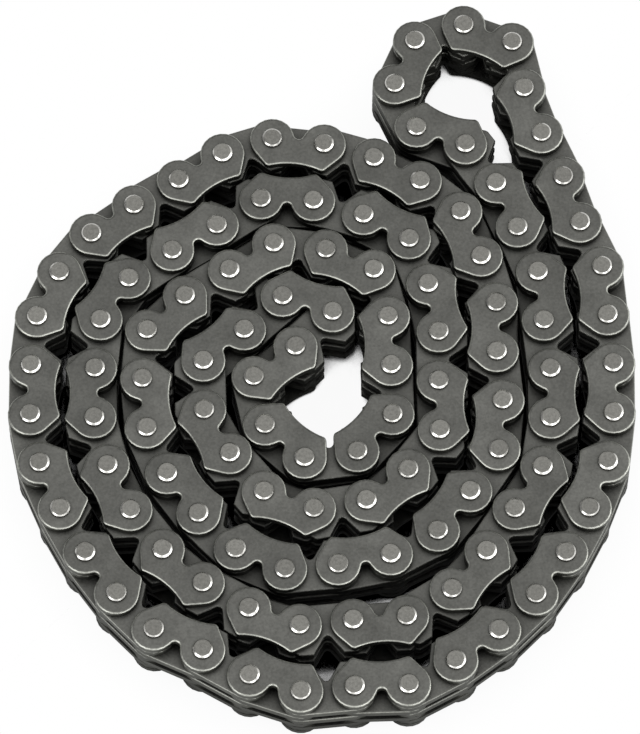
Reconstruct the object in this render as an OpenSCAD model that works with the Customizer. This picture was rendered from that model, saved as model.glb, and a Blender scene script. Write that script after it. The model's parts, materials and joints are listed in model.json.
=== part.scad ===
// Inverted-tooth timing chain, endless, doubled over and coiled flat.
// The pins stand along Z. Seven layers of plates lie across them: a guide plate
// at each face, and between them link plates and mid plates in turn.
// A guide link is two pins with their guide plates and mid plates. A turning
// link is three link plates, and it turns on the pins of the guide links beside it.

/* [Chain] */
// Distance between neighbouring pins
pitch = 6.35; // [6.35:0.05:8]

/* [Plates] */
// Thickness of each guide plate
guide_t = 1; // [0.8:0.1:1.6]
// Thickness of each link plate and mid plate
link_t = 1.1; // [0.8:0.1:1.8]
// Radius of the plates' round ends
end_r = 2.7; // [2.2:0.05:2.7]
// Reach of the tooth corners below the pin line
tooth_h = 3.55; // [2.8:0.05:3.55]
// Radius of the tooth corners
tooth_r = 0.8; // [0.6:0.05:0.9]
// How far the centre of each tooth corner stands inside its pin
tooth_inset = 0.02; // [0:0.02:0.4]

/* [Guide plate outline] */
// Rise of the shallow arch between the tooth corners
belly_rise = 0.55; // [0.2:0.05:0.9]
// Height of the back notch's floor above the pin line
notch_floor = 0.35; // [0.1:0.05:0.7]
// Radius of the back notch's floor
notch_r = 0.6; // [0.4:0.05:0.8]

/* [Link plate outline] */
// Depth of the crotch's crown below the pin line
crotch_crown = 1.3; // [1.25:0.05:1.6]
// Radius of the crotch's crown
crotch_r = 0.5; // [0.3:0.05:0.7]
// Width of the crotch at the tooth tips
crotch_w = 3.6; // [2.4:0.1:4]

/* [Pins] */
// Radius of each pin
pin_r = 1.2; // [0.9:0.05:1.45]
// How far each pin stands proud of the guide plates
pin_stand = 0.5; // [0.3:0.05:1]
// Size of the bevel round each pin end
pin_bevel = 0.25; // [0.1:0.05:0.3]

/* [Fits] */
// Side clearance between neighbouring plates
side_gap = 0.04; // [0.02:0.01:0.1]
// Radial clearance of a turning link plate on its pin
hinge_gap = 0.05; // [0.02:0.01:0.09]
// Radial clearance of a fixed plate on its pin, closed by riveting
seat_gap = 0.02; // [0.01:0.01:0.03]

/* [Hidden] */
// Guide links in the free outer run, and in the free end of the loop
OUTER_GUIDES = 10;
LOOP_GUIDES = 2;
OUTER_TURNING = OUTER_GUIDES + 1;

$fn = 48;
BELLY_FN = 180;
STEEL = "#5f625c";
PIN_STEEL = "#8f8d86";

// The lay of the chain: where its pins lie, in pitches, in round numbers chosen
// by hand. It runs from the loop's open pivot down the outer strand, clockwise
// into the middle, and back out beside itself to the loop.
LAY = [
    [3.85, 5.5], [4.2, 4.5], [4.6, 3.6], [4.9, 2.7], [5.3, 1.8], [5.4, 0.8],
    [5.5, -0.2], [5.5, -1.2], [5.4, -2.2], [5.0, -3.2], [4.6, -4.0], [4.0, -4.9],
    [3.3, -5.6], [2.5, -6.2], [1.6, -6.7], [0.6, -6.7], [-0.4, -6.8], [-1.3, -6.5],
    [-2.2, -6.0], [-3.1, -5.6], [-3.8, -4.9], [-4.4, -4.1], [-4.9, -3.2], [-5.3, -2.3],
    [-5.5, -1.3], [-5.5, -0.3], [-5.4, 0.7], [-5.0, 1.6], [-4.4, 2.4], [-3.6, 3.0],
    [-2.8, 3.5], [-1.9, 4.1], [-1.0, 4.4], [0.0, 4.3], [1.0, 4.0], [1.9, 3.5],
    [2.6, 2.91], [3.0, 2.0], [3.3, 1.0], [3.3, 0.0], [3.4, -1.0], [3.3, -2.0],
    [2.8, -2.8], [2.2, -3.6], [1.3, -4.1], [0.3, -4.3], [-0.7, -4.4], [-1.6, -4.0],
    [-2.3, -3.3], [-2.9, -2.5], [-3.3, -1.6], [-3.4, -0.6], [-3.4, 0.4], [-2.7, 1.1],
    [-1.7, 1.7], [-0.9, 2.3], [0.1, 2.1], [1.0, 1.7], [1.25, 0.7], [1.3, -0.3],
    [1.3, -1.3], [0.7, -2.0], [-0.3, -2.2], [-1.1, -1.5], [-1.3, -0.5], [-0.5, 0.1],
    [0.2, 0.8], [-0.8, 1.1], [-1.52, 0.4], [-2.18, -0.2], [-2.2, -1.2], [-1.7, -2.1],
    [-1.1, -2.8], [-0.1, -3.16], [0.8, -3.0], [1.6, -2.4], [2.2, -1.6], [2.2, -0.6],
    [2.2, 0.4], [2.0, 1.4], [1.6, 2.34], [0.8, 2.8], [-0.2, 3.1], [-1.2, 3.1],
    [-2.0, 2.6], [-2.8, 2.1], [-3.65, 1.55], [-4.25, 0.65], [-4.3, -0.4], [-4.3, -1.4],
    [-4.0, -2.4], [-3.6, -3.2], [-3.0, -4.0], [-2.2, -4.7], [-1.3, -5.2], [-0.4, -5.5],
    [0.6, -5.4], [1.6, -5.3], [2.4, -4.8], [3.1, -4.0], [3.6, -3.2], [4.15, -2.3],
    [4.3, -1.3], [4.3, -0.3], [4.2, 0.6], [4.1, 1.6], [3.7, 2.6], [3.3, 3.5],
    [2.7, 4.3], [1.8, 4.7], [1.4, 5.5], [1.8, 6.5], [2.7, 6.8], [3.6, 6.5]
];
LINKS = len(LAY);

// The lay is settled until every pin is one pitch from the next. Each round draws
// each pin along its two links by a little under half of what they are out by.
SETTLE_ROUNDS = 400;
SETTLE_SHARE = 0.475;
function stretch(a, b) = (b - a) * (1 - 1 / norm(b - a));
function settled(p, rounds) = rounds == 0 ? p : settled(
    [for (i = [0:LINKS - 1])
        p[i] + SETTLE_SHARE * (stretch(p[i], p[(i + 1) % LINKS])
                               - stretch(p[(i + LINKS - 1) % LINKS], p[i]))],
    rounds - 1);
function middle(v) = (max(v) + min(v)) / 2;

SETTLED = settled(LAY, SETTLE_ROUNDS);
LAY_MIDDLE = [middle([for (p = SETTLED) p[0]]), middle([for (p = SETTLED) p[1]])];
PIN = [for (p = SETTLED) pitch * (p - LAY_MIDDLE)];

// Links are numbered by their first pin: even ones are guide links, odd ones turn
LOOP_FIRST = LINKS - 1 - 2 * LOOP_GUIDES;
COIL_GUIDES = [for (k = [2 * OUTER_GUIDES:2:LOOP_FIRST - 1]) k];
COIL_TURNING = [for (k = [2 * OUTER_GUIDES + 1:2:LOOP_FIRST - 2]) k];
function outer_guide(n) = 2 * (n - 1);
function outer_turning(n) = (2 * n - 3 + LINKS) % LINKS;
function loop_turning(n) = LOOP_FIRST + 2 * (n - 1);
function loop_guide(n) = loop_turning(n) + 1;

// Heights: layer 0 is the lower guide plate, layer 6 the upper one
LINK_STEP = link_t + side_gap;
LOWER_GUIDE_Z = pin_stand;
UPPER_GUIDE_Z = LOWER_GUIDE_Z + guide_t + side_gap + 5 * LINK_STEP;
PIN_L = UPPER_GUIDE_Z + guide_t + pin_stand;
function layer_z(n) = LOWER_GUIDE_Z + guide_t + side_gap + (n - 1) * LINK_STEP;

// Plate outline: X along the link, pins at either end of it, teeth towards -Y
half = pitch / 2;
corner = [half - tooth_inset, tooth_r - tooth_h];

// Straight sides run this far inside the rounds they are tangent to, so the two cross cleanly
LAP = 0.001;

// Side flank: the tangent from the end round a pin to the tooth corner
reach = corner - [half, 0];
flank_a = atan2(reach[1], reach[0]) + acos((end_r - tooth_r) / norm(reach));
flank = [cos(flank_a), sin(flank_a)];
flank_top = [half, 0] + (end_r - LAP) * flank;
flank_foot = corner + (tooth_r - LAP) * flank;

// Guide plate's back notch: the tangent from the end to the notch's round floor, or
// the line through both centres where the two rounds run into each other
notch_at = notch_floor + notch_r;
notch_reach = norm([half, notch_at]);
notch_a = 180 - atan2(notch_at, half) - acos(min(1, (end_r + notch_r) / notch_reach));
notch = [cos(notch_a), sin(notch_a)];
notch_top = [half, 0] + (end_r - LAP) * notch;
notch_foot = [0, notch_at] - (notch_r - LAP) * notch;

// Guide plate's belly: an arc through both corner centres, risen in the middle
belly_r = (corner[0] * corner[0] + belly_rise * belly_rise) / (2 * belly_rise);

// Link plate's crotch: straight sides tangent to the round crown
crotch_at = crotch_crown + crotch_r;
crotch_tip = [crotch_w / 2, -tooth_h];
crotch_run = crotch_tip - [0, -crotch_at];
crotch_a = atan2(crotch_run[1], crotch_run[0]) + acos(crotch_r / norm(crotch_run));
crotch_side = [0, -crotch_at] + (crotch_r - LAP) * [cos(crotch_a), sin(crotch_a)];

function across(p) = [-p[0], p[1]];

// Places its children on link k, midway between the link's two pins
module on_link(k) {
    a = PIN[k];
    b = PIN[(k + 1) % LINKS];
    run = b - a;
    translate([(a[0] + b[0]) / 2, (a[1] + b[1]) / 2, 0])
        rotate([0, 0, atan2(run[1], run[0])]) children();
}

module pair() {
    for (x = [-half, half]) translate([x, 0]) children();
}

module tooth_corners() {
    for (x = [-corner[0], corner[0]]) translate([x, corner[1]]) circle(tooth_r);
}

module guide_plate() {
    linear_extrude(guide_t) difference() {
        union() {
            pair() circle(end_r);
            tooth_corners();
            polygon([
                notch_top, notch_foot, across(notch_foot), across(notch_top), across(flank_top),
                across(flank_foot), [tooth_r - corner[0], -tooth_h], [corner[0] - tooth_r, -tooth_h],
                flank_foot, flank_top
            ]);
        }
        translate([0, notch_at]) circle(notch_r);
        translate([0, belly_rise - tooth_h - belly_r]) circle(belly_r, $fn = BELLY_FN);
        pair() circle(pin_r + seat_gap);
    }
}

module link_plate(bore_r) {
    linear_extrude(link_t) difference() {
        union() {
            pair() circle(end_r);
            tooth_corners();
            polygon([
                [half, end_r - LAP], [-half, end_r - LAP], across(flank_top), across(flank_foot),
                [-corner[0], LAP - tooth_h], across(crotch_tip), across(crotch_side),
                crotch_side, crotch_tip, [corner[0], LAP - tooth_h], flank_foot, flank_top
            ]);
        }
        translate([0, -crotch_at]) circle(crotch_r);
        pair() circle(bore_r);
    }
}

// Guide plates of the given guide links, in the given layer height
module guide_plates(links, z) {
    color(STEEL) for (k = links) on_link(k) translate([0, 0, z]) guide_plate();
}

// Mid plates hold still on their pins, so their bores are as close as a guide plate's
module mid_plates(links, layers) {
    color(STEEL) for (k = links) on_link(k) for (n = layers)
        translate([0, 0, layer_z(n)]) link_plate(pin_r + seat_gap);
}

// Link plates turn on the pins
module link_plates(links, layers) {
    color(STEEL) for (k = links) on_link(k) for (n = layers)
        translate([0, 0, layer_z(n)]) link_plate(pin_r + hinge_gap);
}

module pin() {
    rotate_extrude() polygon([
        [0, 0], [pin_r - pin_bevel, 0], [pin_r, pin_bevel],
        [pin_r, PIN_L - pin_bevel], [pin_r - pin_bevel, PIN_L], [0, PIN_L]
    ]);
}

// The open pivot's pin is only its two riveted ends, so the link plates can leave
module pin_end() {
    end_l = pin_stand + guide_t;
    rotate_extrude() polygon([
        [0, 0], [pin_r - pin_bevel, 0], [pin_r, pin_bevel], [pin_r, end_l], [0, end_l]
    ]);
}

module open_pivot_ends() {
    pin_end();
    translate([0, 0, PIN_L]) mirror([0, 0, 1]) pin_end();
}

module pins(links) {
    color(PIN_STEEL) for (k = links) on_link(k) {
        translate([-half, 0, 0]) pin();
        translate([half, 0, 0]) if (k == LINKS - 2) open_pivot_ends(); else pin();
    }
}

LINK_LAYERS = [1, 3, 5];
MID_LAYERS = [2, 4];

module coil_guide_plates_top() { guide_plates(COIL_GUIDES, UPPER_GUIDE_Z); }
module coil_guide_plates_bottom() { guide_plates(COIL_GUIDES, LOWER_GUIDE_Z); }
module coil_mid_plates_upper() { mid_plates(COIL_GUIDES, [4]); }
module coil_mid_plates_lower() { mid_plates(COIL_GUIDES, [2]); }
module coil_link_plates_upper() { link_plates(COIL_TURNING, [5]); }
module coil_link_plates_middle() { link_plates(COIL_TURNING, [3]); }
module coil_link_plates_lower() { link_plates(COIL_TURNING, [1]); }
module coil_pins() { pins(COIL_GUIDES); }

module run_guide_plates(k) {
    guide_plates([k], UPPER_GUIDE_Z);
    guide_plates([k], LOWER_GUIDE_Z);
}

coil_guide_plates_top();
coil_guide_plates_bottom();
coil_mid_plates_upper();
coil_mid_plates_lower();
coil_link_plates_upper();
coil_link_plates_middle();
coil_link_plates_lower();
coil_pins();

for (n = [1:OUTER_GUIDES]) {
    run_guide_plates(outer_guide(n));
    mid_plates([outer_guide(n)], MID_LAYERS);
    pins([outer_guide(n)]);
}
for (n = [1:OUTER_TURNING])
    link_plates([outer_turning(n)], LINK_LAYERS);

for (n = [1:LOOP_GUIDES]) {
    run_guide_plates(loop_guide(n));
    mid_plates([loop_guide(n)], MID_LAYERS);
    pins([loop_guide(n)]);
    link_plates([loop_turning(n)], LINK_LAYERS);
}
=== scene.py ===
import json
import math
import random

import bmesh
import bpy
from bpy.props import FloatProperty, FloatVectorProperty, IntProperty, PointerProperty
from mathutils import Matrix, Vector


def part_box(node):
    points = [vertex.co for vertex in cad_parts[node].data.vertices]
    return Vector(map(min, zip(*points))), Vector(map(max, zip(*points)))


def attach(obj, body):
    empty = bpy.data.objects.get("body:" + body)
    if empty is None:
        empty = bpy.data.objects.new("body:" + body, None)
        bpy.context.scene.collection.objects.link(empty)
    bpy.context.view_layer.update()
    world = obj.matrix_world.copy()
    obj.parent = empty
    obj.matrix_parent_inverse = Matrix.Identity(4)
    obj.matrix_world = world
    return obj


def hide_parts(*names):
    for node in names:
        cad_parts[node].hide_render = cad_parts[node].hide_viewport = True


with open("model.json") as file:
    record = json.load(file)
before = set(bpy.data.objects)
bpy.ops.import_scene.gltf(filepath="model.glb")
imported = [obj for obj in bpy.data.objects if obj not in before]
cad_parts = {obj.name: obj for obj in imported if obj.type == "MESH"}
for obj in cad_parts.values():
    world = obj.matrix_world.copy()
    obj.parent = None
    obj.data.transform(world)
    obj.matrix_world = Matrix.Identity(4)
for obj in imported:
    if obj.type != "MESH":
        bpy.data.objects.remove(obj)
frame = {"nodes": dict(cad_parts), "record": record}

bl_info = {
    "name": "Inverted-tooth chain",
    "version": (1, 0, 0),
    "blender": (4, 5, 0),
    "location": "3D View > Sidebar > Chain",
    "description": "Stamped plates, riveted pins and their steels for a coiled inverted-tooth chain",
    "category": "Add Mesh",
}

MM = 0.001
WELD = 0.002 * MM        # points closer than this are one point
CREASE = math.radians(40)    # a surface that turns more sharply than this has an edge
CAD_BOX = [[extreme(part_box(node)[end][axis] for node in frame["nodes"]) for axis in range(3)]
           for end, extreme in enumerate((min, max))]
CAD_LOW, CAD_HIGH = (corner[2] for corner in CAD_BOX)
MIDDLE_Z = (CAD_LOW + CAD_HIGH) / 2


def linear(hexed):
    """A colour written as sRGB hex, as the linear values that Blender's sockets take."""
    parts = [int(hexed[i:i + 2], 16) / 255 for i in (0, 2, 4)]
    return tuple(p / 12.92 if p <= 0.04045 else ((p + 0.055) / 1.055) ** 2.4 for p in parts)


def size(name, description, mm):
    return FloatProperty(name=name, description=description, default=mm * MM, unit="LENGTH", min=0,
                         precision=5)


def colour(name, description, hexed):
    return FloatVectorProperty(name=name, description=description, default=linear(hexed), subtype="COLOR",
                               min=0, max=1)


def angle(name, description, degrees):
    return FloatProperty(name=name, description=description, default=math.radians(degrees), subtype="ANGLE")


def level(name, description, value):
    return FloatProperty(name=name, description=description, default=value, min=0)


class PlateSizes(bpy.types.PropertyGroup):
    tooth_r: size("Tooth corner", "Radius of the tooth corners", 0.8)
    tooth_inset: size("Tooth inset", "How far each tooth corner's centre stands inside its pin", 0.02)
    belly_rise: size("Belly rise", "Rise of a guide plate's arch between its tooth corners", 0.55)
    notch_floor: size("Notch floor", "Height of a guide plate's back notch above the pin line", 0.35)
    notch_r: size("Notch radius", "Radius of the back notch's floor", 0.6)
    crotch_crown: size("Crotch crown", "Depth of a link plate's crotch below the pin line", 1.3)
    crotch_r: size("Crotch radius", "Radius of the crotch's crown", 0.5)
    crotch_w: size("Crotch width", "Width of the crotch at the tooth tips", 3.6)
    guide_roll: size("Guide plate roll", "Width that the punch rolls over on a guide plate", 0.36)
    link_roll: size("Link plate roll", "Width that the punch rolls over on a link or mid plate", 0.3)
    roll_depth: FloatProperty(name="Roll depth", default=0.6, min=0.1, max=1,
                              description="Depth of the rolled edge, as a share of its width")


class PinSizes(bpy.types.PropertyGroup):
    bevel: size("Bevel", "Width of the bevel that the riveting die leaves round each pin end", 0.18)
    off_centre: size("Off centre", "How far a pin end's flat lies off the pin's axis", 0.05)
    sides: IntProperty(name="Sides", description="Flats round each pin's barrel", default=24, min=12)


class ChainColours(bpy.types.PropertyGroup):
    plate: colour("Plate steel", "Hardened and tumbled plate steel", "6d6d69")
    # Paler than the plate steel: partly the burnish that tumbling leaves on the edges, partly a painted
    # highlight on them
    plate_rim_burnish_and_sheen: colour("Plate rim", "The outermost line of a plate's edge, burnished by tumbling", "a3a49d")
    # Darker than the plate steel: a painted shade on the sheared sides
    plate_side_shade: colour("Plate cut", "The sheared sides of the plates", "60615b")
    pin: colour("Pin steel", "Ground pin steel", "84837e")
    # Much paler than the pin steel: a painted highlight on the pin ends' bevels
    pin_rim_sheen: colour("Pin rim", "The bevel round a riveted pin end", "d2d1cc")


class StageSizes(bpy.types.PropertyGroup):
    elevation: angle("Camera elevation", "Height of the view above the floor", 67.7)
    roll: angle("Camera roll", "Turn of the camera about its own axis", 0.25)
    distance: size("Camera distance", "From the camera to the chain's top face", 755)
    lens: FloatProperty(name="Lens", description="Focal length, with a sensor 36 mm long", default=309.0,
                        unit="CAMERA")
    floor_size: size("Floor size", "Side of the square floor", 4000)
    key: level("Key light", "Brightness of the low softbox at the front left, where 1 is white", 3.6)
    fill: level("Fill light", "Brightness of the low softbox at the front right", 2.5)
    kicker: level("Kicker light", "Brightness of the low softbox at the right", 2.5)
    corner: level("Dark corner", "Brightness of the room's far left corner, behind a black flag", 0.2)


# ---------------------------------------------------------------- reading the frame

def solids(node):
    """The points of each separate solid in a CAD node."""
    bm = bmesh.new()
    bm.from_mesh(frame["nodes"][node].data)
    bmesh.ops.remove_doubles(bm, verts=bm.verts, dist=WELD)
    found = []
    for first in bm.verts:
        if first.tag:
            continue
        first.tag = True
        stack, points = [first], []
        while stack:
            v = stack.pop()
            points.append(v.co.copy())
            for other in (e.other_vert(v) for e in v.link_edges):
                if not other.tag:
                    other.tag = True
                    stack.append(other)
        found.append(points)
    bm.free()
    return found


def span(points, axis):
    values = [p[axis] for p in points]
    return min(values), max(values)


def centre(points):
    return Vector([sum(span(points, axis)) / 2 for axis in (0, 1)])


def nodes_of(kind):
    return [n for n in frame["nodes"] if kind in n]


def body_of(node):
    bodies = frame["record"]["behaviour"]["bodies"]
    return next(body for body, members in bodies.items() if node in members)


def pin_axes():
    """Where every pin stands, as points on the floor."""
    axes = []
    for node in nodes_of("pins"):
        for axis in map(centre, solids(node)):
            if all((axis - a).length > WELD for a in axes):
                axes.append(axis)
    return axes


PIN_AXES = pin_axes()
PIN_SPAN = span(solids("coil_pins")[0], 0)
PIN_R = (PIN_SPAN[1] - PIN_SPAN[0]) / 2
BORE_REACH = PIN_R * 1.08        # a bore's rim is nearer its pin than this, and the outline isn't
BORE_POINTS = 8                  # a bore has more points than this


class Plate:
    """A CAD plate's sizes, and its place: X from pin to pin, and the teeth towards -Y."""

    def __init__(self, points):
        (x0, x1), (y0, y1), (self.low, self.high) = (span(points, axis) for axis in range(3))
        flat = [p.xy for p in points]
        near = [a for a in PIN_AXES if x0 < a.x < x1 and y0 < a.y < y1]
        bores = [a for a in near if sum((p - a).length < BORE_REACH for p in flat) > BORE_POINTS]
        if len(bores) != 2:
            raise RuntimeError(f"the plate near {x0:.4f}, {y0:.4f} has {len(bores)} bores")
        run = bores[1] - bores[0]
        along, middle = run.normalized(), (bores[0] + bores[1]) / 2
        heights = [(p - middle).dot(Vector((-along.y, along.x))) for p in flat]
        if max(heights) > -min(heights):
            along = -along
        self.half = run.length / 2
        self.back, self.teeth = sorted((max(heights), -min(heights)))
        self.bore_r = min((p - bores[0]).length for p in flat)
        turned = Matrix.Rotation(math.atan2(along.y, along.x), 4, "Z")
        self.place = Matrix.Translation((*middle, 0)) @ turned


# ---------------------------------------------------------------- outlines

# Flats along each round. Plates are repeated hundreds of times, so each round has few.
BORE_STEPS = 8
GUIDE_END_STEPS, NOTCH_STEPS, GUIDE_TOOTH_STEPS, BELLY_STEPS = 10, 4, 4, 5
LINK_END_STEPS, LINK_TOOTH_STEPS, CROTCH_STEPS = 4, 3, 2


def arc(bm, start, about, sweep, steps):
    """Spins a point about a centre, and returns the arc's last point."""
    made = bmesh.ops.spin(bm, geom=[start], cent=(*about, 0), axis=(0, 0, 1), dvec=(0, 0, 0), angle=sweep,
                          steps=steps, use_merge=False, use_duplicate=False)
    return next(g for g in made["geom_last"] if isinstance(g, bmesh.types.BMVert))


def line(bm, start, to):
    """Draws a point out to a place, and returns the line's last point."""
    end = bmesh.ops.extrude_vert_indiv(bm, verts=[start])["verts"][0]
    end.co = (*to, 0)
    return end


def polar(about, radius, direction):
    return about + radius * Vector((math.cos(direction), math.sin(direction)))


def quarter(bm, plate, edge, above):
    """One face of the right half. Its edge function draws the outer side, from the plate's end to X = 0."""
    before = set(bm.verts)
    v = bmesh.ops.create_vert(bm, co=(plate.half + plate.back, 0, 0))["vert"][0]
    v = edge(v)
    v = line(bm, v, (0, 0))
    v = line(bm, v, (plate.half - plate.bore_r, 0))
    v = arc(bm, v, (plate.half, 0), -math.pi if above else math.pi, BORE_STEPS)
    line(bm, v, (plate.half + plate.back, 0))
    bmesh.ops.remove_doubles(bm, verts=[v for v in bm.verts if v not in before], dist=WELD)
    loop = {e for v in bm.verts if v not in before for e in v.link_edges}
    bmesh.ops.contextual_create(bm, geom=list(loop))


def tooth(bm, v, plate, props, steps):
    """Round the plate's end, down the straight flank and round the tooth corner."""
    pin = Vector((plate.half, 0))
    corner = Vector((plate.half - props.tooth_inset, props.tooth_r - plate.teeth))
    reach = corner - pin
    flank = math.atan2(reach.y, reach.x) + math.acos((plate.back - props.tooth_r) / reach.length)
    v = arc(bm, v, pin, flank, steps)
    v = line(bm, v, polar(corner, props.tooth_r, flank))
    return arc(bm, v, corner, -math.pi / 2 - flank, steps)


def guide_outline(bm, plate, props):
    """A guide plate: a round notch in its back and a shallow arch between its tooth corners."""
    pin = Vector((plate.half, 0))
    notch = Vector((0, props.notch_floor + props.notch_r))
    reach = notch - pin
    lean = math.atan2(reach.y, reach.x) - math.acos((plate.back + props.notch_r) / reach.length)

    def back(v):
        v = arc(bm, v, pin, lean, GUIDE_END_STEPS)
        v = line(bm, v, polar(notch, -props.notch_r, lean))
        return arc(bm, v, notch, math.pi / 2 - lean, NOTCH_STEPS)

    def belly(v):
        v = tooth(bm, v, plate, props, GUIDE_TOOTH_STEPS)
        rise, span_x = props.belly_rise, v.co.x
        belly_r = (span_x ** 2 + rise ** 2) / (2 * rise)
        return arc(bm, v, (0, rise - plate.teeth - belly_r), math.asin(span_x / belly_r), BELLY_STEPS)

    quarter(bm, plate, back, True)
    quarter(bm, plate, belly, False)


def link_outline(bm, plate, props):
    """A link plate: a straight back, and two teeth with a crotch between them."""
    crown = Vector((0, -props.crotch_crown - props.crotch_r))
    tip = Vector((props.crotch_w / 2, -plate.teeth))
    run = tip - crown
    slope = math.atan2(run.y, run.x) + math.acos(props.crotch_r / run.length)

    def back(v):
        v = arc(bm, v, (plate.half, 0), math.pi / 2, LINK_END_STEPS)
        return line(bm, v, (0, plate.back))

    def teeth(v):
        v = tooth(bm, v, plate, props, LINK_TOOTH_STEPS)
        v = line(bm, v, tip)
        v = line(bm, v, polar(crown, props.crotch_r, slope))
        return arc(bm, v, crown, math.pi / 2 - slope, CROTCH_STEPS)

    quarter(bm, plate, back, True)
    quarter(bm, plate, teeth, False)


# ---------------------------------------------------------------- shapes

GUIDE_ROLL_STEPS, LINK_ROLL_STEPS = 3, 2    # flats across a rolled edge
WALL = 0.5               # a face whose normal rises less than this is a sheared side
BURNISH_AND_SHEEN_SLOPE = 0.8          # a face of the rolled edge that is flatter than this gets neither the burnish nor the painted highlight


def kept(bm, name):
    """Smooth faces with creases at the sharp edges, kept as a mesh."""
    for f in bm.faces:
        f.smooth = True
    for e in bm.edges:
        e.smooth = e.calc_face_angle(math.pi) < CREASE
    mesh = bpy.data.meshes.new(name)
    bm.to_mesh(mesh)
    bm.free()
    return mesh


def mark(faces, layer):
    """Marks faces for the material, which finishes each mark in its own way."""
    for f in faces:
        f[layer] = 1.0


def bevelled(bm, edges, width, segments):
    """Bevels edges to a round profile, and returns the new faces."""
    return bmesh.ops.bevel(bm, geom=edges, offset=width, offset_type="OFFSET", affect="EDGES",
                           segments=segments, profile=0.5, material=-1, clamp_overlap=True)["faces"]


def stamped_plate(plate, outline, props, roll, segments):
    """A plate on the plane Z = 0, with the edge that the punch rolled over on top."""
    thick = plate.high - plate.low
    bm = bmesh.new()
    rim, cut = (bm.faces.layers.float.new(name) for name in ("rim", "cut"))
    outline(bm, plate, props)
    bmesh.ops.remove_doubles(bm, verts=bm.verts, dist=WELD)
    bmesh.ops.mirror(bm, geom=bm.verts[:] + bm.edges[:] + bm.faces[:], axis="X", merge_dist=WELD)
    raised = bmesh.ops.extrude_face_region(bm, geom=bm.faces[:])["geom"]
    top = [g for g in raised if isinstance(g, bmesh.types.BMVert)]
    bmesh.ops.translate(bm, verts=top, vec=(0, 0, thick))
    bmesh.ops.recalc_face_normals(bm, faces=bm.faces)
    mark([f for f in bm.faces if abs(f.normal.z) < WALL], cut)

    def on_rim(e):
        high = all(v.co.z > thick - WELD for v in e.verts)
        off_bore = all(abs((Vector((abs(v.co.x), v.co.y)) - Vector((plate.half, 0))).length) > BORE_REACH
                       for v in e.verts)
        return high and off_bore and e.calc_face_angle(0) > CREASE

    rolled = bevelled(bm, [e for e in bm.edges if on_rim(e)], roll, segments)
    for f in rolled:
        f[cut] = 0.0
    # The steeper faces of the rolled edge are marked for the pale rim colour: partly burnish, partly a
    # painted highlight
    mark([f for f in rolled if f.normal.z < BURNISH_AND_SHEEN_SLOPE], rim)
    for v in {v for f in rolled for v in f.verts}:
        v.co.z = thick - (thick - v.co.z) * props.roll_depth
    return kept(bm, "stamped_plate")


def riveted_pin(length, props, both):
    """A pin standing on Z = 0, bevelled at the top, and at the bottom too unless it is only an end. The
    riveting die leaves each end's flat a little off the pin's axis."""
    bm = bmesh.new()
    rim = bm.faces.layers.float.new("rim")
    bmesh.ops.create_cone(bm, cap_ends=True, segments=props.sides, radius1=PIN_R, radius2=PIN_R,
                          depth=length)
    bmesh.ops.translate(bm, verts=bm.verts, vec=(0, 0, length / 2))
    ends = [e for e in bm.edges if abs(e.verts[0].co.z - e.verts[1].co.z) < WELD
            and (both or e.verts[0].co.z > WELD)]
    # The bevel's faces are marked for the pale pin rim colour, a painted highlight
    mark(bevelled(bm, ends, props.bevel, 1), rim)
    for v in bm.verts:
        if v.co.xy.length < PIN_R - WELD:
            v.co.x += props.off_centre
    return kept(bm, "riveted_pin")


def lay_out(name, placed):
    """One object with each mesh at its place. Each has its own tint, and remembers where it was made."""
    draw = random.Random(name)
    bm = bmesh.new()
    for finish in ("rim", "cut"):
        bm.faces.layers.float.new(finish)
    tint = bm.verts.layers.float.new("tint")
    made_at = bm.verts.layers.float_vector.new("made_at")
    for mesh, place in placed:
        count, value = len(bm.verts), draw.random()
        bm.from_mesh(mesh)
        bm.verts.ensure_lookup_table()
        for v in bm.verts[count:]:
            v[made_at] = v.co
            v[tint] = value
        bmesh.ops.transform(bm, matrix=place, verts=bm.verts[count:])
    bmesh.ops.recalc_face_normals(bm, faces=bm.faces)
    mesh = bpy.data.meshes.new(name)
    bm.to_mesh(mesh)
    bm.free()
    made = bpy.data.objects.new(name, mesh)
    bpy.context.scene.collection.objects.link(made)
    made.modifiers.new("flat faces stay flat", "WEIGHTED_NORMAL").keep_sharp = True
    return made


def hand_over(made, node, slot):
    """The finished piece takes a CAD node's place, in the slot's steel."""
    made.data.materials.append(steel(slot))
    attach(made, body_of(node))
    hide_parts(node)


def make_plates(kind, outline, roll, segments):
    """Every node of one kind of plate, each plate where the CAD has it, with its rolled edge outward."""
    props = bpy.context.scene.chain_plates
    template = None
    for node in nodes_of(kind):
        placed = []
        for plate in map(Plate, solids(node)):
            template = template or stamped_plate(plate, outline, props, roll, segments)
            placed.append((template, plate.place @ facing(plate.low, plate.high)))
        hand_over(lay_out("stamped_" + node, placed), node, "plates")
    bpy.data.meshes.remove(template)


def facing(low, high):
    """Lifts a shape from Z = 0 to its height, and turns it over if it lies in the chain's lower half."""
    if (low + high) / 2 > MIDDLE_Z - WELD:
        return Matrix.Translation((0, 0, low))
    return Matrix.Translation((0, 0, high)) @ Matrix.Diagonal((1, 1, -1, 1))


# ---------------------------------------------------------------- materials

# Sizes of the features, and reaches, in mm.
GRAIN, CLOUDS = 0.3, 4.0               # the tumbled plates' fine grain and slow mottling
DENTS, FACING_CUT = 0.35, 0.16         # on a pin's end: the die's dents, and the facing's rings
RELIEF = 0.01                          # the height of the grain and of the dents
PLATE_SHADOW_REACH, PLATE_SHADOW_RAYS = 4.0, 8       # how far round a point the plates' painted shade looks for other parts, and its rays
SHADE_REACH, SHADE_RAYS = 14.0, 64     # how far from the chain the floor is shaded
NOISE_RANGE = 0.3, 0.7                 # noise seldom leaves this range


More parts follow.
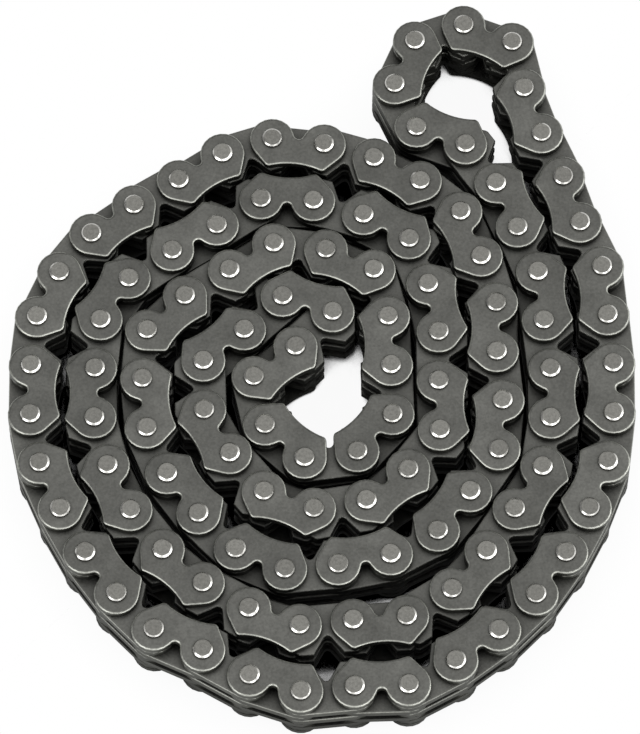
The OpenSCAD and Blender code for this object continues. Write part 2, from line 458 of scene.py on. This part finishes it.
def put(tree, kind, inputs=None, **settings):
    """Adds a node. Each input is a value, or another node's output to link."""
    node = tree.nodes.new(kind)
    for name, value in settings.items():
        setattr(node, name, value)
    for name, value in (inputs or {}).items():
        if isinstance(value, bpy.types.NodeSocket):
            tree.links.new(value, node.inputs[name])
        else:
            node.inputs[name].default_value = value
    return node


def empty_material(name):
    made = bpy.data.materials.new(name)
    made.use_nodes = True
    made.node_tree.nodes.clear()
    return made, made.node_tree


def per(mm):
    """Texture scale at which a feature is this size."""
    return 1 / (mm * MM)


def spread(tree, value, low, high, low_in=0.0, high_in=1.0):
    """Maps a value's range to another."""
    return put(tree, "ShaderNodeMapRange", {"Value": value, "From Min": low_in, "From Max": high_in,
                                            "To Min": low, "To Max": high}).outputs["Result"]


def blended(tree, factor, a, b, how="MIX"):
    """Two colours mixed by a factor."""
    node = put(tree, "ShaderNodeMix", {0: factor, 6: a, 7: b}, data_type="RGBA", blend_type=how)
    return node.outputs[2]


def attribute(tree, name):
    return put(tree, "ShaderNodeAttribute", attribute_name=name).outputs["Fac"]


def times(tree, a, b):
    return put(tree, "ShaderNodeMath", {0: a, 1: b}, operation="MULTIPLY").outputs[0]


def grey(tree, value):
    parts = {name: value for name in ("Red", "Green", "Blue")}
    return put(tree, "ShaderNodeCombineColor", parts).outputs["Color"]


def openness(tree, reach, rays):
    """How far a point lies open to its surroundings within this reach, in mm, from 0 to 1."""
    return put(tree, "ShaderNodeAmbientOcclusion", {"Distance": reach * MM}, samples=rays).outputs["AO"]


def noise(tree, place, feature):
    """Noise with features of this size in mm."""
    inputs = {"Vector": place, "Scale": per(feature), "Detail": 3.0}
    return put(tree, "ShaderNodeTexNoise", inputs).outputs["Fac"]


def metal(tree, base, rough, height):
    """Bare metal of this colour and roughness, with a faint relief."""
    relief = put(tree, "ShaderNodeBump", {"Height": height, "Strength": 0.2, "Distance": RELIEF * MM})
    shader = put(tree, "ShaderNodeBsdfPrincipled", {"Base Color": base, "Metallic": 1.0, "Roughness": rough,
                                                    "Normal": relief.outputs["Normal"]})
    put(tree, "ShaderNodeOutputMaterial", {"Surface": shader.outputs["BSDF"]})


def tumbled_steel():
    """Hardened carbon steel strip, stamped, then tumbled with abrasive stones and oiled. It is an even
    dark grey with a fine satin grain and slightly cloudy, and darker on the sheared sides as painted shade.
    A thin pale line on its edges is partly the stones' burnish and partly a painted highlight, and painted
    shade darkens it where other parts crowd round, in the gaps between plates and round the pins."""
    colours = bpy.context.scene.chain_colours
    made, tree = empty_material("tumbled carbon steel")
    place = put(tree, "ShaderNodeTexCoord").outputs["Object"]
    grain, cloud = noise(tree, place, GRAIN), noise(tree, place, CLOUDS)
    # The sheared sides take a darker colour, a painted shade
    sides = blended(tree, attribute(tree, "cut"), (*colours.plate, 1), (*colours.plate_side_shade, 1))
    # Painted shade: the steel is darkened where other parts crowd round a point, standing in for the shadow
    # in the gaps and round the pins
    painted_shade = spread(tree, openness(tree, PLATE_SHADOW_REACH, PLATE_SHADOW_RAYS), 0.2, 1.0, 0.15, 0.85)
    shaded_plate = blended(tree, 1.0, sides, grey(tree, painted_shade), "MULTIPLY")
    # The rim faces take the pale rim colour, free of the painted shade: partly burnish, partly a painted
    # highlight
    steel = blended(tree, attribute(tree, "rim"), shaded_plate, (*colours.plate_rim_burnish_and_sheen, 1))
    shade = times(tree, spread(tree, cloud, 0.84, 1.14, *NOISE_RANGE),
                  times(tree, spread(tree, grain, 0.82, 1.18, *NOISE_RANGE),
                        spread(tree, attribute(tree, "tint"), 0.88, 1.1)))
    base = blended(tree, 1.0, steel, grey(tree, shade), "MULTIPLY")
    metal(tree, base, spread(tree, grain, 0.36, 0.46, *NOISE_RANGE), grain)
    return made


def ground_steel():
    """Bearing steel rod, ground on the barrel and faced at the ends, where the riveting die leaves fine
    dents and a bevel. The bevel is much paler, a painted highlight. The steel is paler than the plates."""
    colours = bpy.context.scene.chain_colours
    made, tree = empty_material("ground bearing steel")
    place = put(tree, "ShaderNodeTexCoord").outputs["Object"]
    own = put(tree, "ShaderNodeAttribute", attribute_name="made_at").outputs["Vector"]
    dents = noise(tree, place, DENTS)
    rings = put(tree, "ShaderNodeTexWave", {"Vector": own, "Scale": per(FACING_CUT * 2 * math.pi),
                                            "Distortion": 0.6, "Detail": 1.0},
                wave_type="RINGS", rings_direction="Z").outputs["Fac"]
    # The bevel takes the pale pin rim colour, a painted highlight
    steel = blended(tree, attribute(tree, "rim"), (*colours.pin, 1), (*colours.pin_rim_sheen, 1))
    shade = times(tree, spread(tree, dents, 0.82, 1.18, *NOISE_RANGE),
                  times(tree, spread(tree, rings, 0.96, 1.04),
                        spread(tree, attribute(tree, "tint"), 0.9, 1.1)))
    base = blended(tree, 1.0, steel, grey(tree, shade), "MULTIPLY")
    metal(tree, base, spread(tree, dents, 0.24, 0.32, *NOISE_RANGE), dents)
    return made


def white_floor():
    """Matt white card. The camera sees it as white, and darker where the chain shuts out the light:
    faintly beside the chain, and almost black in the narrow gaps between its strands. Polished steel
    reflects the shaded card."""
    made, tree = empty_material("matt white card")
    path = put(tree, "ShaderNodeLightPath").outputs
    wide = openness(tree, SHADE_REACH, SHADE_RAYS)
    gaps, beside = spread(tree, wide, 0.0, 1.0, 0.11, 0.19), spread(tree, wide, 0.95, 1.0, 0.3, 0.8)
    seen = times(tree, gaps, beside)
    mirrored = spread(tree, wide, 0.03, 1.0, 0.4, 1.0)
    value = blended(tree, path["Is Camera Ray"], grey(tree, mirrored), grey(tree, seen))
    put(tree, "ShaderNodeOutputMaterial",
        {"Surface": put(tree, "ShaderNodeEmission", {"Color": value, "Strength": 1.0}).outputs[0]})
    return made


STEELS = {"plates": tumbled_steel, "pins": ground_steel}
STEELS_MADE = {}


def steel(slot):
    """The slot's material, made the first time it is asked for."""
    if slot not in STEELS_MADE:
        STEELS_MADE[slot] = STEELS[slot]()
    return STEELS_MADE[slot]


# ---------------------------------------------------------------- operators

class CHAIN_OT_guide_plates(bpy.types.Operator):
    """Makes the guide plates at the chain's two faces"""
    bl_idname = "chain.guide_plates"
    bl_label = "Guide plates"

    def execute(self, context):
        make_plates("guide_plates", guide_outline, context.scene.chain_plates.guide_roll, GUIDE_ROLL_STEPS)
        return {"FINISHED"}


class CHAIN_OT_mid_plates(bpy.types.Operator):
    """Makes the toothed plates that are fixed on the pins, between the guide plates"""
    bl_idname = "chain.mid_plates"
    bl_label = "Mid plates"

    def execute(self, context):
        make_plates("mid_plates", link_outline, context.scene.chain_plates.link_roll, LINK_ROLL_STEPS)
        return {"FINISHED"}


class CHAIN_OT_link_plates(bpy.types.Operator):
    """Makes the toothed plates that turn on the pins"""
    bl_idname = "chain.link_plates"
    bl_label = "Link plates"

    def execute(self, context):
        make_plates("link_plates", link_outline, context.scene.chain_plates.link_roll, LINK_ROLL_STEPS)
        return {"FINISHED"}


class CHAIN_OT_pins(bpy.types.Operator):
    """Makes the riveted pins"""
    bl_idname = "chain.pins"
    bl_label = "Pins"

    def execute(self, context):
        props = context.scene.chain_pins
        whole = CAD_HIGH - CAD_LOW
        templates = {}
        for node in nodes_of("pins"):
            placed = []
            draw = random.Random(node)
            for points in solids(node):
                low, high = span(points, 2)
                is_whole = high - low > whole / 2
                if is_whole not in templates:
                    templates[is_whole] = riveted_pin(high - low, props, is_whole)
                turned = Matrix.Rotation(draw.uniform(-math.pi, math.pi), 4, "Z")
                place = Matrix.Translation((*centre(points), 0)) @ turned @ facing(low, high)
                placed.append((templates[is_whole], place))
            hand_over(lay_out("riveted_" + node, placed), node, "pins")
        for mesh in templates.values():
            bpy.data.meshes.remove(mesh)
        return {"FINISHED"}


# ---------------------------------------------------------------- stage

TARGET = Vector((-0.25, -2.38, 8.74)) * MM    # the camera looks at this point, on the chain's top face
SENSOR = 36.0            # the width of the camera's sensor, in mm
CLIP = 0.05, 10.0        # the nearest and farthest distance that the camera sees, in metres
FLOOR_GAP = 0.02 * MM    # keeps the floor clear of the lowest plates' faces
LAMP_DISTANCE = 0.8      # from the origin, in metres
# Directions from the origin: towards the three softboxes, and towards the black flag.
FRONT_LEFT, FRONT_RIGHT, RIGHT = (-0.68, -0.63, 0.38), (0.45, -0.8, 0.4), (0.92, -0.05, 0.35)
FAR_LEFT = (-0.8, 0.6, 0)
FLAG_SIDE, FLAG_TOP = (-0.2, 0.3), (0.5, 0.9)    # where the flag's soft edges begin and end


def softbox(name, towards, width, height, radiance):
    """An area lamp that stands in this direction and faces the origin, with sides in metres. A radiance of
    1 is white."""
    data = bpy.data.lights.new(name, "AREA")
    data.shape, data.size, data.size_y = "RECTANGLE", width, height
    data.energy = radiance * width * height * math.pi
    lamp = bpy.data.objects.new(name, data)
    away = Vector(towards).normalized()
    lamp.location = away * LAMP_DISTANCE
    lamp.rotation_euler = away.to_track_quat("Z", "Y").to_euler()
    lamp.visible_camera = False
    bpy.context.scene.collection.objects.link(lamp)


class CHAIN_OT_stage(bpy.types.Operator):
    """Makes the camera, the pale floor, the softboxes and the room"""
    bl_idname = "chain.stage"
    bl_label = "Stage"

    def execute(self, context):
        props = context.scene.chain_stage
        self.camera(context.scene, props)
        self.floor(context.scene, props)
        softbox("key softbox", FRONT_LEFT, 0.55, 0.45, props.key)
        softbox("fill softbox", FRONT_RIGHT, 0.5, 0.45, props.fill)
        softbox("kicker softbox", RIGHT, 0.5, 0.4, props.kicker)
        self.room(context.scene, props)
        context.scene.view_settings.view_transform = "Standard"
        return {"FINISHED"}

    def camera(self, scene, props):
        data = bpy.data.cameras.new("camera")
        data.lens, data.sensor_width = props.lens, SENSOR
        data.clip_start, data.clip_end = CLIP
        made = bpy.data.objects.new("camera", data)
        away = Vector((0, -math.cos(props.elevation), math.sin(props.elevation)))
        made.rotation_mode = "QUATERNION"
        turned = (-away).to_track_quat("-Z", "Y").to_matrix() @ Matrix.Rotation(props.roll, 3, "Z")
        made.rotation_quaternion = turned.to_quaternion()
        made.location = TARGET + away * props.distance
        scene.collection.objects.link(made)
        scene.camera = made

    def floor(self, scene, props):
        bm = bmesh.new()
        bmesh.ops.create_grid(bm, x_segments=1, y_segments=1, size=props.floor_size / 2)
        bmesh.ops.translate(bm, verts=bm.verts, vec=(0, 0, CAD_LOW - FLOOR_GAP))
        mesh = bpy.data.meshes.new("floor")
        bm.to_mesh(mesh)
        bm.free()
        made = bpy.data.objects.new("floor", mesh)
        mesh.materials.append(white_floor())
        scene.collection.objects.link(made)

    def room(self, scene, props):
        """White all round for the camera. Steel sees it darker towards the far left, behind the flag."""
        world = bpy.data.worlds.new("room")
        world.use_nodes = True
        world.node_tree.nodes.clear()
        tree = world.node_tree
        ray = put(tree, "ShaderNodeTexCoord").outputs["Generated"]
        height = put(tree, "ShaderNodeSeparateXYZ", {0: ray}).outputs["Z"]
        aside = put(tree, "ShaderNodeVectorMath", {0: ray, 1: FAR_LEFT}, operation="DOT_PRODUCT")
        flagged = times(tree, spread(tree, aside.outputs["Value"], 0.0, 1.0, *FLAG_SIDE),
                        spread(tree, height, 1.0, 0.0, *FLAG_TOP))
        strength = spread(tree, flagged, 1.0, props.corner)
        shown = put(tree, "ShaderNodeLightPath").outputs["Is Camera Ray"]
        value = blended(tree, shown, grey(tree, strength), (1, 1, 1, 1))
        room = put(tree, "ShaderNodeBackground", {"Color": value, "Strength": 1.0})
        put(tree, "ShaderNodeOutputWorld", {"Surface": room.outputs[0]})
        scene.world = world


class CHAIN_PT_panel(bpy.types.Panel):
    """The chain's sizes, colours and steps"""
    bl_idname = "CHAIN_PT_panel"
    bl_label = "Inverted-tooth chain"
    bl_space_type = "VIEW_3D"
    bl_region_type = "UI"
    bl_category = "Chain"

    def draw(self, context):
        for group in GROUPS:
            props = getattr(context.scene, group)
            for name in props.bl_rna.properties.keys():
                if name not in ("name", "rna_type"):
                    self.layout.prop(props, name)
        for step in STEPS:
            self.layout.operator(step.bl_idname)


GROUPS = {"chain_plates": PlateSizes, "chain_pins": PinSizes, "chain_colours": ChainColours,
          "chain_stage": StageSizes}
STEPS = [CHAIN_OT_guide_plates, CHAIN_OT_mid_plates, CHAIN_OT_link_plates, CHAIN_OT_pins, CHAIN_OT_stage]


def register():
    for cls in [*GROUPS.values(), *STEPS, CHAIN_PT_panel]:
        bpy.utils.register_class(cls)
    for group, cls in GROUPS.items():
        setattr(bpy.types.Scene, group, PointerProperty(type=cls))


def unregister():
    for group in GROUPS:
        delattr(bpy.types.Scene, group)
    for cls in reversed([*GROUPS.values(), *STEPS, CHAIN_PT_panel]):
        bpy.utils.unregister_class(cls)


def main():
    register()
    bpy.ops.chain.stage()
    bpy.ops.chain.guide_plates()
    bpy.ops.chain.mid_plates()
    bpy.ops.chain.link_plates()
    bpy.ops.chain.pins()


if __name__ == "__main__":
    main()
